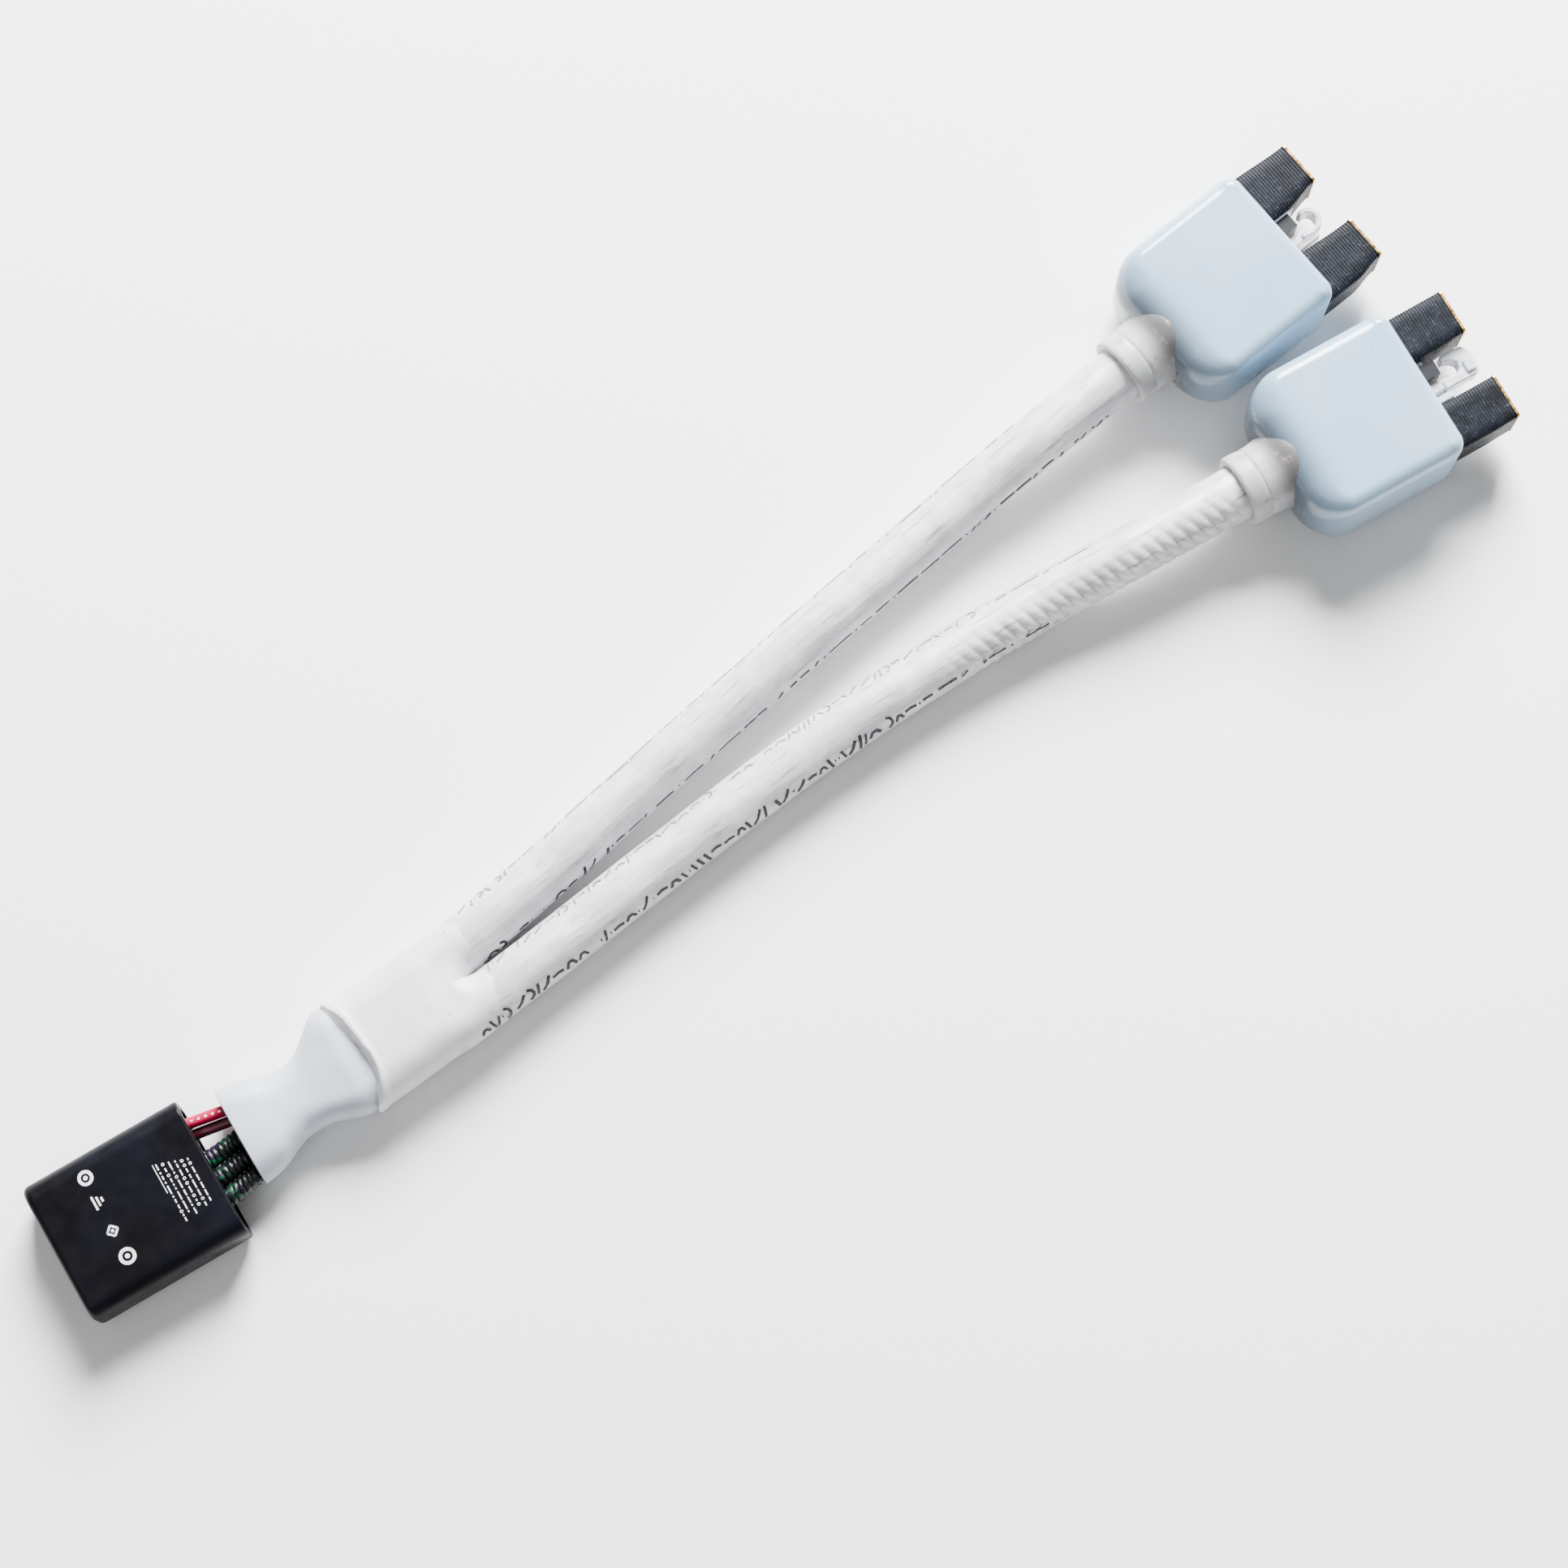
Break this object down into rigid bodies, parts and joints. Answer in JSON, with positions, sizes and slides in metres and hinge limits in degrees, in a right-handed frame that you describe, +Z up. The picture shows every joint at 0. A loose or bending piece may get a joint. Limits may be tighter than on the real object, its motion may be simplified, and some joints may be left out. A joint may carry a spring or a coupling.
{
  "type": "micro inverter adapter",
  "caption": "Flat black power module with short coloured leads in a waisted white sleeve, a Y splice boot and two white cables ending in latching two-prong plugs.",
  "frame": {"origin": "centre of the module's underside", "axes": "+X from the module towards the cables, +Z up from the surface it lies on, +Y to the left seen along +X"},
  "size_m": [0.2045, 0.0528, 0.0125],
  "materials": {
    "case_black": "satin",
    "guide_black": "matte",
    "board_green": "semi-gloss solder resist",
    "ferrite": "matte sintered",
    "bobbin_nylon": "satin",
    "copper": "enamelled",
    "component_black": "matte",
    "ceramic": "matte",
    "can_aluminium": "satin",
    "thermal_grey": "matte",
    "solder": "satin",
    "lead_red": "glossy",
    "lead_maroon": "glossy",
    "lead_black": "glossy",
    "lead_green": "glossy",
    "wrap_black": "glossy ribbed",
    "sleeve_white": "satin",
    "crimp_tin": "satin",
    "cable_white": "pearly satin",
    "core_red": "glossy",
    "plug_white": "glossy",
    "collar_white": "satin",
    "carrier_grey": "matte",
    "prong_dark": "fine ribbed",
    "contact_gold": "gold plated",
    "key_dark": "matte",
    "latch_clear": "translucent",
    "pin_steel": "satin"
  },
  "bodies": {
    "module": {"black_lead_a": "lead_black", "black_lead_b": "lead_black", "bobbin": "bobbin_nylon", "cable_collar_a": "collar_white", "cable_collar_b": "collar_white", "case_end_cap": "case_black", "case_sleeve": "case_black", "chip_resistors": "component_black", "circuit_board": "board_green", "contact_carrier_a": "carrier_grey", "contact_carrier_b": "carrier_grey", "controller_chip": "component_black", "core_lower": "ferrite", "core_upper": "ferrite", "fuse": "ceramic", "green_lead": "lead_green", "heat_spreader": "can_aluminium", "input_capacitors": "ceramic", "key_block_a": "key_dark", "key_block_b": "key_dark", "key_pin_a": "contact_gold", "key_pin_b": "contact_gold", "latch_pin_a": "pin_steel", "latch_pin_b": "pin_steel", "latch_spring_a": "pin_steel", "latch_spring_b": "pin_steel", "lead_guide": "guide_black", "left_prong_a": "prong_dark", "left_prong_b": "prong_dark", "lower_cable": "cable_white", "lower_cores": "core_red", "output_capacitor": "can_aluminium", "output_inductor": "ferrite", "plug_body_a": "plug_white", "plug_body_b": "plug_white", "plug_cores_a": "core_red", "plug_cores_b": "core_red", "power_contacts_a": "contact_gold", "power_contacts_b": "contact_gold", "power_transistors": "component_black", "primary_winding": "copper", "rectifier_diodes": "component_black", "red_lead_a": "lead_red", "red_lead_b": "lead_maroon", "right_prong_a": "prong_dark", "right_prong_b": "prong_dark", "secondary_winding": "copper", "solder_pads": "solder", "spiral_wrap_a": "wrap_black", "spiral_wrap_b": "wrap_black", "spiral_wrap_c": "wrap_black", "splice_crimps": "crimp_tin", "tail_sleeve": "sleeve_white", "thermal_pad": "thermal_grey", "upper_cable": "cable_white", "upper_cores": "core_red", "y_boot": "sleeve_white"},
    "latch_a": {"latch_lever_a": "latch_clear"},
    "latch_b": {"latch_lever_b": "latch_clear"}
  },
  "joints": [
    {"name": "latch_press_a", "type": "hinge", "parent": "module", "child": "latch_a", "pos_m": [0.1737, 0.0312, 0.00625], "axis": [-0.1495, 0.9888, 0], "range_deg": [0, 8], "stiffness_Nm_per_rad": 0.03, "deforming": ["latch_spring_a"]},
    {"name": "latch_press_b", "type": "hinge", "parent": "module", "child": "latch_b", "pos_m": [0.17828, 0.00752, 0.00625], "axis": [0.0175, 0.9998, 0], "range_deg": [0, 8], "stiffness_Nm_per_rad": 0.03, "deforming": ["latch_spring_b"]}
  ]
}
